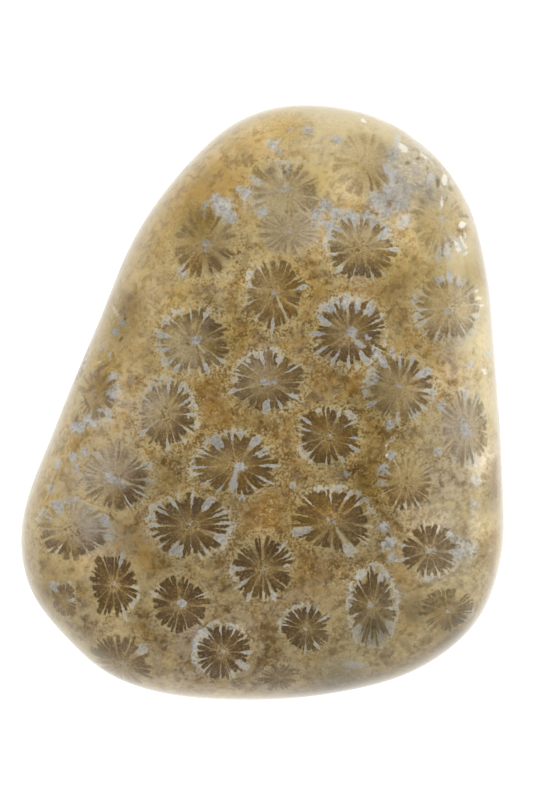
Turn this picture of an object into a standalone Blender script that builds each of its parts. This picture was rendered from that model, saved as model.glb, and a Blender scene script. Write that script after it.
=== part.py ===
"""Polished piece of a fossil coral head: one solid stone, lying on its flat ground underside.

Metres, +Z up. The origin is on the underside, under the middle of the stone's bounding box.
+Y points to the narrower end of the polished face.
"""

import math

import bpy
import numpy as np

MM = 0.001

# Driving dimensions of the stone
THICKNESS = 12.0 * MM  # underside to the highest point of the polished face
GIRDLE_HEIGHT = 5.6 * MM  # height of the widest outline above the underside
CROWN = 1.1 * MM  # how far the polished face falls from its middle to the outline
CROWN_REACH = 21.0 * MM  # distance from the middle over which the crown falls

# Widest outline seen from above: millimetres from the middle, clockwise from the narrower end
OUTLINE_MM = (
    (2.2, 23.75), (8.6, 23.0), (13.0, 20.45), (16.3, 16.2), (17.9, 10.6), (18.6, 3.4),
    (19.2, -6.0), (19.15, -12.2), (17.2, -17.5), (12.4, -21.4), (5.0, -23.4), (-2.6, -23.8),
    (-8.4, -23.2), (-12.4, -21.7), (-15.5, -19.0), (-18.6, -14.9), (-19.25, -9.8), (-16.4, -1.6),
    (-13.0, 6.6), (-10.1, 13.4), (-6.4, 18.55), (-2.2, 22.35),
)
OUTLINE_STEPS = 16  # points of the smooth curve between two outline points

# Width of the rounded rim above the girdle, by compass direction: degrees from +X, millimetres
RIM_WIDTH_MM = (
    (0.0, 3.4), (45.0, 3.6), (90.0, 4.4), (135.0, 6.2), (180.0, 6.0), (225.0, 3.6),
    (270.0, 2.7), (315.0, 3.0),
)
RIM_FULLNESS = 2.25  # 2 is an ellipse, more is a fuller shoulder
EDGE_WIDTH = 4.2 * MM  # width of the rounding below the girdle

# Shallow worn places in the polish: x, y, length, width (mm), turn (degrees), depth (mm)
WORN_PLACES = (
    (11.7, 19.6, 2.6, 1.3, -38.0, 0.34),  # pitted corner beside the narrower end
    (14.0, 17.6, 1.3, 1.0, -50.0, 0.20),
    (-11.4, 6.9, 1.7, 0.75, -60.0, 0.26),  # old chip along the long slanted side
    (-14.2, 0.6, 1.6, 0.8, -66.0, 0.22),
)

MESH_SEGMENTS = 26  # quads along each edge of the cube that the stone is grown from
PROFILE_STEPS = 120  # samples along a meridian, crown to underside


def closed_curve(points):
    """Centripetal Catmull-Rom curve through a closed ring of points."""
    ring = [np.array(point) for point in points]
    count = len(ring)
    curve = []
    for index in range(count):
        before, start, end, after = (ring[(index + shift) % count] for shift in (-1, 0, 1, 2))
        gap_in, gap, gap_out = (
            math.sqrt(np.linalg.norm(b - a)) for a, b in ((before, start), (start, end), (end, after))
        )
        leave = gap * ((start - before) / gap_in - (end - before) / (gap_in + gap) + (end - start) / gap)
        arrive = gap * ((end - start) / gap - (after - start) / (gap + gap_out) + (after - end) / gap_out)
        for step in range(OUTLINE_STEPS):
            t = step / OUTLINE_STEPS
            curve.append(
                (2 * t**3 - 3 * t**2 + 1) * start
                + (t**3 - 2 * t**2 + t) * leave
                + (3 * t**2 - 2 * t**3) * end
                + (t**3 - t**2) * arrive
            )
    return np.array(curve)


def outline_table():
    """Angles and radii of the outline, sorted by angle, in metres."""
    curve = closed_curve(OUTLINE_MM) * MM
    angles = np.arctan2(curve[:, 1], curve[:, 0])
    order = np.argsort(angles)
    return angles[order], np.hypot(curve[:, 0], curve[:, 1])[order]


def rim_width(angle):
    """Width of the rounded rim in a direction, blended smoothly between the compass points."""
    directions = np.radians([degrees for degrees, _ in RIM_WIDTH_MM])
    closeness = np.exp((np.cos(angle - directions) - 1) * 9.0)
    return float(np.dot(closeness, [width for _, width in RIM_WIDTH_MM]) / closeness.sum()) * MM


def face_height(x, y):
    """Height of the crowned polished face, before the rim rounds it over."""
    reach = (x / CROWN_REACH) ** 2 + (y / CROWN_REACH) ** 2
    ripple = 0.10 * math.sin(x / (5.2 * MM) + 0.6) * math.sin(y / (6.1 * MM) - 0.4)
    return THICKNESS - CROWN * reach - 0.5 * ripple * MM


def wear_depth(x, y):
    """Depth of the worn places at a point of the polished face."""
    depth = 0.0
    for place_x, place_y, length, width, turn, deepest in WORN_PLACES:
        across = x / MM - place_x
        along = y / MM - place_y
        cos_turn = math.cos(math.radians(turn))
        sin_turn = math.sin(math.radians(turn))
        u = (across * cos_turn + along * sin_turn) / length
        v = (along * cos_turn - across * sin_turn) / width
        depth += deepest * math.exp(-(u * u + v * v))
    return depth * MM


def rounding(part):
    """Fall of a rounded edge: 1 where it starts, 0 at the girdle."""
    part = min(max(part, 0.0), 1.0)
    return (1.0 - part**RIM_FULLNESS) ** (1.0 / RIM_FULLNESS)


def meridian(angle, radius):
    """Points (distance from the middle, height) down one side, from the crown to the underside."""
    rim = rim_width(angle)
    quarter = np.linspace(0.0, math.pi / 2, PROFILE_STEPS)
    flat = np.linspace(0.0, 1.0, PROFILE_STEPS, endpoint=False)
    upper_reach = np.concatenate([flat * (radius - rim), radius - rim + rim * np.sin(quarter)])
    upper = []
    for reach in upper_reach:
        x, y = reach * math.cos(angle), reach * math.sin(angle)
        fall = rounding((reach - radius + rim) / rim)
        upper.append((reach, GIRDLE_HEIGHT + (face_height(x, y) - GIRDLE_HEIGHT) * fall))
    lower_reach = np.concatenate(
        [radius - EDGE_WIDTH + EDGE_WIDTH * np.cos(quarter[1:]), (1.0 - flat[1:]) * (radius - EDGE_WIDTH)]
    )
    lower = []
    for reach in lower_reach:
        fall = rounding((reach - radius + EDGE_WIDTH) / EDGE_WIDTH)
        lower.append((reach, GIRDLE_HEIGHT * (1.0 - fall)))
    return np.array(upper + lower + [(0.0, 0.0)])


def stone_point(direction, angles, radii):
    """Where the stone's surface lies in a direction of the starting ball."""
    angle = math.atan2(direction.y, direction.x)
    radius = float(np.interp(angle, angles, radii, period=2 * math.pi))
    profile = meridian(angle, radius)
    travelled = np.concatenate([[0.0], np.cumsum(np.hypot(*np.diff(profile, axis=0).T))])
    wanted = travelled[-1] * math.acos(max(-1.0, min(1.0, direction.z))) / math.pi
    reach = float(np.interp(wanted, travelled, profile[:, 0]))
    height = float(np.interp(wanted, travelled, profile[:, 1]))
    x, y = reach * math.cos(angle), reach * math.sin(angle)
    if direction.z > 0.0:
        height -= wear_depth(x, y) * min(1.0, direction.z * 4.0)
    return x, y, height


def polished_stone_material():
    """Ochre-gold silicified coral with a high polish."""
    material = bpy.data.materials.new("polished_fossil_coral")
    material.use_nodes = True
    shader = material.node_tree.nodes["Principled BSDF"]
    shader.inputs["Base Color"].default_value = (0.42, 0.31, 0.15, 1.0)
    shader.inputs["Roughness"].default_value = 0.18
    shader.inputs["Metallic"].default_value = 0.0
    return material


def coral_stone():
    """The whole stone: a ball of even quads, moved out to the pebble's surface."""
    bpy.ops.mesh.primitive_cube_add(size=2.0, location=(0.0, 0.0, 0.0))
    stone = bpy.context.object
    stone.name = "coral_stone"
    stone.data.name = "coral_stone"
    bpy.ops.object.mode_set(mode="EDIT")
    bpy.ops.mesh.select_all(action="SELECT")
    bpy.ops.mesh.subdivide(number_cuts=MESH_SEGMENTS - 1)
    bpy.ops.object.mode_set(mode="OBJECT")
    angles, radii = outline_table()
    for vertex in stone.data.vertices:
        even = vertex.co.copy()
        for axis in range(3):
            even[axis] = math.tan(vertex.co[axis] * math.pi / 4)
        vertex.co = stone_point(even.normalized(), angles, radii)
    stone.data.materials.append(polished_stone_material())
    stone.data.shade_smooth()
    return stone


for old in list(bpy.data.objects):
    bpy.data.objects.remove(old, do_unlink=True)

coral_stone()
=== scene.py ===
import math

import bpy
import numpy as np
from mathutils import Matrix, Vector, noise


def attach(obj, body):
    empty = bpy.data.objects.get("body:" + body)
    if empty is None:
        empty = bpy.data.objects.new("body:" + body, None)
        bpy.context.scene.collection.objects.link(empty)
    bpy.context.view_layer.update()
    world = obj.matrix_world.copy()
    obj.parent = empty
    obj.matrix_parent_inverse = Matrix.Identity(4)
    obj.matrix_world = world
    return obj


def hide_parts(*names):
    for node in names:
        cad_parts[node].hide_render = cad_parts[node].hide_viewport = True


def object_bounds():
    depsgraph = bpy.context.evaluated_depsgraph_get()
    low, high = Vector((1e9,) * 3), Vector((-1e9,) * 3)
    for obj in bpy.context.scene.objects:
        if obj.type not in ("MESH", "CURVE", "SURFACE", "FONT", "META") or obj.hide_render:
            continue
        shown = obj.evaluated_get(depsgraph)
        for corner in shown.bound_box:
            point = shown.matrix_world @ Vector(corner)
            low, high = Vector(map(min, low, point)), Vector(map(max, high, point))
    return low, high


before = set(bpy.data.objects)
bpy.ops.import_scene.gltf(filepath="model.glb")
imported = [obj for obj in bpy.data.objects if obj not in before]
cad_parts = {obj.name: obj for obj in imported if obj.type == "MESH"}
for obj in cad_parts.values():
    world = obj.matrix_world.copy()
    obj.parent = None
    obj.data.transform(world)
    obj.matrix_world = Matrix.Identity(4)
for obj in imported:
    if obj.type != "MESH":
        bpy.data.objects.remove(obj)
cad_low, cad_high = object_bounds()

# --- The stone: its body ----------------------------------------------------------------------------
# One cut piece of a coral colony turned to agate, ground to a lopsided oval, tumbled and polished
# till the rim is round. The solid gives its form; here the facets are smoothed away, and the small
# flaws that the polish left, pits and a healed chip, are pressed into the surface.

MM = 0.001
GRAIN = 0.27 * MM  # width of one quad of the finished surface
SMOOTHING = 10  # rounds that take the facets of the solid away

# Pits left in the polish: x, y, radius, depth in millimetres
PITS = (
    (12.3, 19.4, 0.42, 0.3), (11.3, 19.1, 0.5, 0.2), (10.5, 17.6, 0.38, 0.18), (13.5, 17.8, 0.62, 0.26),
    (14.1, 17.0, 0.48, 0.28), (14.9, 16.8, 0.4, 0.2), (5.0, 15.1, 0.36, 0.16), (1.7, 18.3, 0.4, 0.16),
    (-15.0, -6.1, 0.34, 0.22), (9.8, -7.2, 0.36, 0.12), (12.4, 15.8, 0.3, 0.14), (9.6, 15.6, 0.3, 0.14),
    (-13.8, -1.0, 0.4, 0.12), (17.0, 12.6, 0.55, 0.16), (16.4, 5.2, 0.4, 0.1),
)
PITTED_CORNER = (12.6, 18.4, 3.6, 2.2, -42.0)  # x, y, half length, half width (mm), turn (degrees)
PITTED_RELIEF = 0.16 * MM
PITTED_GRAIN = 1.5 / MM  # how fine the roughness of the pitted corner is

# A healed chip runs along the long slanted side, just inside the rim: x, y in millimetres
CHIP_LINE = ((-10.8, 8.6), (-11.0, 6.4), (-11.6, 4.6), (-13.0, 2.8), (-14.0, 0.8), (-14.6, -1.4))
CHIP_WIDTH = 0.42 * MM
CHIP_DEPTH = 0.12 * MM

bpy.ops.object.select_all(action="DESELECT")
stone = bpy.data.objects.new("polished_coral_stone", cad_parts["coral_stone"].data.copy())
bpy.context.collection.objects.link(stone)
stone.data.materials.clear()
stone.select_set(True)
bpy.context.view_layer.objects.active = stone
bpy.ops.object.mode_set(mode="EDIT")
bpy.ops.mesh.select_all(action="SELECT")
bpy.ops.mesh.remove_doubles(threshold=0.001 * MM)
bpy.ops.mesh.dissolve_limited(angle_limit=math.radians(0.05))
bpy.ops.mesh.tris_convert_to_quads(face_threshold=math.radians(30), shape_threshold=math.radians(60))
bpy.ops.object.mode_set(mode="OBJECT")

rounder = stone.modifiers.new("round_off", "SUBSURF")
rounder.levels = 2
rounder.render_levels = 2
bpy.ops.object.modifier_apply(modifier=rounder.name)
weaver = stone.modifiers.new("even_grain", "REMESH")
weaver.mode = "VOXEL"
weaver.voxel_size = GRAIN
bpy.ops.object.modifier_apply(modifier=weaver.name)
smoother = stone.modifiers.new("tumble", "SMOOTH")
smoother.factor = 0.5
smoother.iterations = SMOOTHING
bpy.ops.object.modifier_apply(modifier=smoother.name)


def points_of(mesh):
    """The mesh's points as rows of x, y, z."""
    flat = np.empty(len(mesh.vertices) * 3, np.float32)
    mesh.vertices.foreach_get("co", flat)
    return flat.reshape(-1, 3).astype(float)


def distance_to_line(places, line):
    """Distance from each place (x, y in metres) to a line through points in millimetres."""
    nearest = np.full(len(places), 1.0)
    for start, end in zip(line, line[1:]):
        start, end = np.array(start) * MM, np.array(end) * MM
        along = np.clip((places - start) @ (end - start) / ((end - start) @ (end - start)), 0.0, 1.0)
        gap = places - start - along[:, None] * (end - start)
        nearest = np.minimum(nearest, np.hypot(gap[:, 0], gap[:, 1]))
    return nearest


def soft_oval(places, x, y, half_length, half_width, turn):
    """1 in the middle of an oval, falling off softly to 0 outside it."""
    across = places[:, 0] / MM - x
    up = places[:, 1] / MM - y
    turn = math.radians(turn)
    u = (across * math.cos(turn) + up * math.sin(turn)) / half_length
    v = (up * math.cos(turn) - across * math.sin(turn)) / half_width
    return np.exp(-1.4 * (u * u + v * v) ** 1.5)


points = points_of(stone.data)
low, high = points.min(0), points.max(0)
points = (points - low) / (high - low) * (np.array(cad_high) - np.array(cad_low)) + np.array(cad_low)
GIRDLE = 5.6 * MM  # height of the widest outline
FACE = 11.6 * MM  # height of the polished face near its middle
on_face = np.clip((points[:, 2] - GIRDLE) / (2.0 * MM), 0.0, 1.0)
pressed = np.zeros(len(points))
for x, y, radius, depth in PITS:
    gap = np.hypot(points[:, 0] / MM - x, points[:, 1] / MM - y) / radius
    pressed += depth * MM * np.exp(-(gap**2.6))
pitted = soft_oval(points, *PITTED_CORNER)
roughness = np.array([noise.turbulence(Vector(point) * PITTED_GRAIN, 3, False) for point in points])
pressed += pitted * PITTED_RELIEF * np.clip(roughness * 1.6 - 0.3, 0.0, 1.5)
chip = np.exp(-((distance_to_line(points[:, :2], CHIP_LINE) / CHIP_WIDTH) ** 2))
pressed += chip * CHIP_DEPTH * np.clip(roughness + 0.2, 0.0, 1.0)
points[:, 2] -= pressed * on_face
stone.data.vertices.foreach_set("co", points.astype(np.float32).ravel())
stone.data.shade_smooth()
stone.data.update()

# --- The stone: its coral cups ----------------------------------------------------------------------
# Each star is one coral animal's cup, cut across. A cup is a tube that runs down through the stone, so
# the stars show again on the underside, and tubes that stand outside them come out through the sides.

FLARE = 0.012 / MM  # the tubes draw together downwards by this share of their distance from the middle

# One row to a cup: middle x, y, half width, half height (mm); darkness, warmth, sharpness; the clock
# hours round the rim where agate sits in drops, and those where it lies in a thick crust; size of the
# agate bead in the heart; a strand of agate (hour, length); the darker side (hour, amount). A row that
# stops after the crust's hours has no bead, strand or darker side
CUPS = (
    (8.2, 19.2, 2.5, 2.7, 0.32, 0.75, 0.35, (2, 4), (3, 3.7), 0.0, (0, 0.0), (4.5, 0.9)),
    (1.8, 16.7, 2.9, 2.4, 0.4, 0.25, 0.4, (8, 10), (12, 9), 0.1, (12, 0.8), (1, 0.3)),
    (2.0, 13.5, 2.5, 1.9, 0.46, 0.15, 0.24, (), (), 0.0, (0, 0.0), (6, 0.2)),
    (14.3, 14.6, 2.5, 2.7, 0.36, 0.9, 0.45, (3.3, 12.3), (4.7, 5.8), 0.08, (12, 0.9), (5, 0.4)),
    (-4.6, 12.6, 2.6, 2.8, 0.54, 0.65, 0.45, (11.7, 7.3, 5), (1,), 0.0, (0, 0.0), (5.5, 0.5)),
    (7.8, 12.2, 2.7, 2.5, 0.52, 0.55, 0.85, (2, 3, 5, 6, 7, 8), (9.3, 10.2, 11, 12, 1), 0.0, (0, 0.0),
     (6, 0.5)),
    (1.0, 8.6, 2.2, 2.7, 0.64, 0.8, 0.75, (2.5, 6, 7, 8.2, 9, 10.2), (10,), 0.0, (5, 1.0), (4, 0.2)),
    (6.9, 5.4, 2.8, 2.6, 0.72, 0.5, 1.0, (1, 2.4, 3.2, 5.6, 6.3, 7, 8, 9), (10.4, 11.1, 12, 4.7), 0.24,
     (4.6, 0.6), (4, 0.2)),
    (14.9, 7.5, 2.6, 2.7, 0.46, 0.45, 0.6, (11, 12, 12.8, 1.6, 2.4, 7.5, 6.5, 5.6), (3.6, 4.7, 8.6, 9.3),
     0.1, (0, 0.0), (5, 0.3)),
    (-5.4, 4.8, 2.7, 2.6, 0.52, 0.25, 0.75, (12.4, 1.1, 4.4, 5.2, 6, 7), (7.8, 8.6, 9.4, 10.2, 11), 0.13,
     (4.5, 0.5), (2.5, 0.6)),
    (-13.4, 0.6, 1.8, 2.2, 0.5, 1.0, 0.42, (2, 11), (3, 5, 6.2), 0.0, (0, 0.0), (3, 0.5)),
    (0.4, 1.5, 2.7, 2.2, 0.62, 0.45, 1.0, (8.5, 9.1, 9.8, 12.3, 1.1, 2, 4, 5, 6), (10.5, 11.3, 12), 0.24,
     (0, 0.0), (4, 0.2)),
    (10.8, 1.1, 2.6, 2.5, 0.56, 0.4, 0.65, (12, 12.8, 2, 4.5, 5.3, 6.4, 8), (9, 10, 11, 3.2), 0.0,
     (0, 0.0), (2, 0.3)),
    (-7.6, -1.0, 2.2, 2.6, 0.55, 0.35, 0.8, (6, 4.6, 9.8, 8), (11.2, 12, 1.3, 2.3, 3.4), 0.0, (0, 0.0),
     (4.3, 0.6)),
    (16.2, -2.1, 2.0, 2.9, 0.48, 0.15, 0.62, (10, 1.2, 2.4, 7), (12, 5.4), 0.3, (0, 0.0), (3, 0.6)),
    (5.2, -2.7, 2.4, 2.2, 0.74, 0.65, 1.0, (11.3, 12.3, 1.3, 3, 4, 4.8, 6, 7, 9.4, 10.4), (8.0, 1.4)),
    (-2.1, -5.0, 3.0, 2.3, 0.7, 0.65, 1.0, (9, 9.8, 8, 7, 5.5, 4, 3.2, 2, 10.6, 11.4, 12.2, 1),
     (9, 11, 12), 0.2, (6.2, 1.0), (3.5, 0.3)),
    (-11.7, -6.1, 2.7, 2.6, 0.56, 0.25, 0.5, (2, 3, 4.2, 5, 10.5, 9.2), (2.4,), 0.16, (3.6, 1.0),
     (4.5, 0.6)),
    (11.4, -6.4, 2.1, 2.1, 0.54, 0.95, 0.6, (10, 10.8, 5.2, 6.4, 2), (9.8,), 0.0, (0, 0.0), (6.5, 0.5)),
    (-5.8, -9.8, 3.0, 2.4, 0.82, 0.4, 1.0, (12, 11.2, 1, 2, 2.7, 5.3, 6.7, 7.6, 8.4),
     (10, 9.3, 3.4, 4.1), 0.0, (0, 0.0), (2.5, 0.2)),
    (-15.2, -10.2, 2.9, 2.3, 0.46, 0.25, 0.6, (7.4,), (10, 11, 12, 1, 2.3, 3.2), 0.0, (0, 0.0),
     (6.3, 0.8)),
    (5.6, -9.5, 3.0, 2.4, 0.75, 0.6, 1.0, (12.8, 1.6, 8.2, 4.4, 5.3), (11.4, 12.1, 1, 2), 0.1,
     (5.2, 0.9), (1.5, 0.2)),
    (0.0, -13.2, 2.3, 2.5, 0.9, 0.55, 1.0, (1.3, 2.4, 5.4, 7, 7.8), (8.8,)),
    (13.3, -11.9, 2.3, 2.0, 0.8, 0.5, 0.9, (12, 8.3, 9.4, 5.2), (1.5, 3, 4.2, 6), 0.12, (11, 0.5),
     (4, 0.1)),
    (-11.9, -14.6, 1.9, 2.6, 0.92, 0.7, 1.0, (12.8, 5.1), (3.9,)),
    (-6.6, -16.2, 2.2, 2.2, 0.9, 0.5, 0.95, (2, 10.2), (), 0.17, (9, 0.35), (0, 0.0)),
    (8.8, -16.4, 1.8, 3.0, 0.92, 0.5, 1.0, (3, 9, 12, 6), (1, 2, 3, 4, 5, 6.3, 7.4, 8.2, 9, 10, 11, 12),
     0.08, (0, 0.0), (0, 0.0)),
    (-3.2, -20.0, 2.2, 2.2, 0.95, 0.45, 0.9, (12.9, 4, 5, 2.9), (8, 8.8, 9.6, 10.4, 11.2, 12.8)),
    (3.5, -18.1, 1.9, 1.9, 0.95, 0.5, 0.95, (12.1, 1, 2, 5, 6), (9.4, 10.4, 11.3)),
    (-16.0, -16.1, 1.1, 1.5, 0.62, 0.95, 0.52, (2, 11), (1,)),
    (-11.5, -21.4, 2.6, 2.9, 0.7, 0.6, 0.62, (1.6,), ()),
    (14.8, -16.8, 2.2, 1.8, 0.9, 0.8, 0.74, (3,), (3.6,), 0.0, (0, 0.0), (1, 0.4)),
    (6.8, -21.6, 1.9, 1.6, 0.5, 0.2, 0.1, (3,), ()),
    (1.3, -22.2, 1.6, 1.4, 0.76, 0.4, 0.35, (12,), ()),
    (2.2, 22.2, 2.0, 1.9, 0.26, 0.95, 0.06, (7.6,), (2,), 0.0, (0, 0.0), (8, 0.4)),
    (19.4, -6.2, 2.0, 2.0, 0.62, 0.95, 0.12, (), (9,), 0.0, (0, 0.0), (9, 0.4)),
    (18.6, -12.1, 1.8, 1.9, 0.6, 0.85, 0.12, (10,), (9,), 0.0, (0, 0.0), (9, 0.4)),
    (-12.0, 5.7, 1.4, 1.6, 0.26, 0.8, 0.05, (11,), (1.2,), 0.0, (0, 0.0), (9, 0.4)),
)
PLAIN_HEART = (0.0, (0, 0.0), (0, 0.0))

# Agate that filled gaps between the cups: x, y, size in millimetres
AGATE_SPOTS = (
    (10.3, 16.9, 1.2), (9.2, 16.1, 1.1), (11.0, 15.9, 1.0), (11.6, 17.0, 0.7), (10.4, 18.3, 1.0),
    (10.7, 17.5, 0.9), (10.4, 20.0, 0.7), (9.8, 15.2, 0.8), (8.3, 14.8, 0.6), (7.0, 14.8, 0.7),
    (5.8, 15.1, 0.7), (5.0, 15.7, 0.7), (5.4, 13.9, 0.7), (4.2, 15.0, 0.6), (3.9, 16.1, 0.4),
    (3.6, 21.9, 0.7), (0.9, 20.7, 0.7), (1.3, 20.0, 0.4), (6.0, 21.1, 0.6), (-3.2, 15.5, 1.1),
    (-3.7, 16.2, 0.6), (-2.5, 14.6, 0.7), (-1.3, 16.6, 0.7), (-1.9, 17.0, 0.4), (0.0, 15.1, 0.6),
    (-4.5, 15.7, 0.4), (12.2, 18.8, 0.8), (13.4, 17.8, 0.7), (14.6, 12.0, 0.6), (14.8, 13.0, 0.5),
    (15.8, 12.9, 0.5), (9.9, 13.8, 0.5), (16.0, -11.7, 1.0), (16.8, -11.9, 0.7), (10.1, -1.8, 0.5),
    (10.3, -3.0, 0.3), (10.2, -4.2, 0.5), (9.6, -5.2, 0.5), (12.0, -0.9, 0.5), (-6.3, 10.2, 0.5),
    (13.9, -4.0, 0.5), (17.1, -6.3, 0.6), (16.9, -8.2, 0.5), (-11.3, 6.4, 0.4), (-11.8, 5.6, 0.4),
    (-12.0, 2.0, 0.5), (-12.0, 0.5, 0.6), (-13.6, -1.4, 0.8), (-14.8, -2.0, 0.7), (-14.2, -4.0, 0.5),
    (-15.2, -4.4, 0.5), (-14.8, -5.3, 0.4), (-12.2, -5.8, 0.5), (-15.4, -15.8, 0.5), (-16.8, -14.9, 0.6),
    (6.6, -5.7, 0.4), (14.2, -0.3, 0.5), (10.1, -11.2, 0.7), (9.6, -9.9, 0.6), (10.4, -12.4, 0.5),
    (10.8, 20.3, 0.5), (-12.7, -9.4, 0.5), (-16.6, -5.0, 0.5), (-17.0, -7.0, 0.5), (16.6, 3.0, 0.5),
    (2.4, -6.6, 0.4), (-1.6, -7.6, 0.4),
)

# Stains in the ground mass between the cups, and pale patches that are partly painted sheen: x, y, size
# (mm), strength
HONEY_SPOTS = (
    (2.0, 22.6, 1.8, 0.8), (-1.0, 20.8, 1.8, 0.6), (-3.4, 18.0, 2.0, 0.8), (-5.0, 16.8, 1.6, 0.9),
    (7.2, 15.6, 0.9, 0.8), (-7.0, 14.5, 1.8, 0.6), (3.0, 9.0, 2.0, 0.5), (9.0, 8.8, 2.2, 0.6),
    (-2.0, 2.0, 2.6, 0.6), (-3.8, 0.2, 2.2, 0.7), (3.6, 2.4, 2.4, 0.6), (7.4, 2.2, 0.9, 1.0),
    (2.0, -3.4, 2.2, 0.6), (-4.0, -3.6, 2.0, 0.5), (0.4, -8.6, 2.6, 0.7), (-9.6, -11.6, 1.8, 0.7),
    (2.8, -13.0, 2.2, 0.6), (11.6, -17.2, 1.4, 0.6), (11.6, -13.6, 1.4, 0.6), (18.4, -7.4, 1.2, 0.7),
    (10.4, -6.4, 1.6, 0.6), (-11.6, 11.2, 1.4, 0.4), (12.8, 5.6, 1.6, 0.5), (-16.6, -14.8, 1.2, 0.7),
)
UMBER_SPOTS = (
    (-5.0, 14.6, 0.9, 0.5), (-10.6, 8.2, 0.8, 0.8), (-11.2, 6.8, 0.7, 0.7), (-12.6, 3.1, 0.6, 0.8),
    (-14.0, 1.4, 0.8, 0.9), (-14.2, -0.2, 0.7, 0.9), (-14.9, -1.5, 0.5, 0.9), (-16.6, -5.6, 0.6, 0.5),
    (-17.2, -9.6, 0.7, 0.6), (-17.4, -13.0, 0.6, 0.5), (0.2, -18.4, 0.7, 0.6), (0.6, -20.4, 0.8, 0.7),
    (6.0, -18.2, 0.7, 0.6), (6.2, -20.0, 0.6, 0.7), (9.8, -20.6, 0.9, 0.6), (15.0, -15.6, 0.9, 0.7),
    (11.6, -18.6, 0.9, 0.5), (3.2, -12.0, 1.2, 0.4), (-7.0, -5.2, 1.2, 0.5), (-5.8, -6.2, 1.0, 0.4),
    (8.8, -8.6, 1.4, 0.4), (11.0, 8.6, 1.6, 0.5), (-1.4, 7.6, 1.4, 0.4), (-8.2, -12.6, 1.0, 0.5),
    (-9.2, -17.6, 0.8, 0.4), (3.4, 6.4, 0.9, 0.4), (9.6, -3.6, 1.4, 0.4), (-17.8, -15.4, 0.7, 0.5),
    (10.6, 6.2, 1.1, 0.7), (14.1, 10.8, 0.8, 0.6), (17.7, 7.0, 0.6, 0.5), (-14.8, -1.2, 0.5, 0.8),
)
# Pale cream ground mass; along the right and top edges also a painted sheen where the light falls
CREAM_AND_SHEEN_SPOTS = (
    (5.6, 22.8, 3.0, 0.8), (11.8, 19.8, 2.6, 1.0), (16.4, 11.6, 2.4, 0.9), (17.8, 5.0, 2.0, 1.0),
    (18.2, 0.0, 1.8, 0.9), (17.8, -4.6, 1.6, 0.7), (18.2, -9.4, 1.6, 0.6), (12.6, 8.8, 2.0, 0.3),
    (-8.4, 10.4, 3.0, 0.45), (-10.0, 4.4, 2.4, 0.45), (-15.4, -7.0, 2.4, 0.4), (-13.0, -12.4, 1.6, 0.35),
    (-9.6, 7.4, 2.4, 0.4), (-12.0, -2.6, 1.8, 0.4), (-16.0, -12.6, 1.4, 0.3), (15.6, -14.6, 1.4, 0.4),
    (14.6, 15.8, 2.2, 0.7), (4.6, 18.6, 2.0, 0.6), (17.4, 8.6, 1.8, 0.9), (13.6, -2.8, 1.4, 0.4),
    (14.6, -8.8, 1.6, 0.5), (9.6, 22.2, 2.0, 0.8), (-1.4, 22.4, 1.4, 0.4),
)
SHARP_MIDDLE = (2.2, -3.2, 15.0, 18.4, 14.0)  # where the grain of the ground mass shows crisply

# Long blotches: x, y, half length, half width (mm), turn (degrees), strength
DARK_BLOTCHES = (
    (-10.6, 8.3, 0.5, 0.45, 0, 0.5), (-11.15, 7.3, 0.7, 0.34, 63, 0.6), (-10.9, 6.7, 0.5, 0.17, -70, 0.8),
    (-11.25, 5.0, 0.34, 0.18, 60, 0.9), (-12.75, 2.75, 0.8, 0.2, 31, 0.9),
    (-13.3, 2.1, 0.55, 0.4, 30, 0.6), (-13.6, 1.1, 0.45, 0.36, 40, 0.7),
    (-14.0, -0.05, 0.8, 0.18, -65, 0.9), (-14.75, -1.3, 0.5, 0.18, 80, 0.8),
    (-16.6, -6.4, 1.6, 0.2, 70, 0.5), (-14.9, -6.2, 0.2, 0.18, 0, 0.8), (12.4, 19.4, 0.2, 0.17, 0, 1.1),
    (11.5, 19.0, 0.34, 0.26, 20, 0.7), (10.6, 17.55, 0.22, 0.18, -40, 0.9),
    (13.95, 17.4, 0.5, 0.18, 88, 1.0), (15.0, 17.0, 0.34, 0.26, -50, 0.7),
    (16.25, 14.8, 0.34, 0.2, -10, 0.9), (15.75, 13.6, 0.5, 0.18, -15, 0.9),
    (16.75, 4.0, 0.5, 0.2, 85, 0.6), (12.0, 20.1, 0.24, 0.14, -45, 0.6), (13.1, 18.6, 0.3, 0.15, 70, 0.7),
    (12.4, -15.4, 0.3, 0.7, 10, 0.5), (11.7, -17.1, 0.5, 0.8, 20, 0.45),
    (12.9, -19.0, 0.8, 0.45, 40, 0.8), (15.7, -14.4, 0.45, 0.6, 30, 0.6), (11.3, -19.2, 0.6, 0.5, 0, 0.7),
    (10.1, -19.9, 0.5, 0.34, 20, 0.8), (9.1, -20.8, 0.3, 0.22, 0, 0.9), (10.1, -20.9, 0.5, 0.2, 10, 0.8),
    (5.6, -19.8, 0.6, 0.4, 60, 0.8), (12.9, 17.1, 0.26, 0.14, 20, 0.6), (1.75, 18.2, 0.3, 0.15, -50, 0.9),
    (4.6, 15.1, 0.2, 0.14, 0, 0.8),
)
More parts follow.
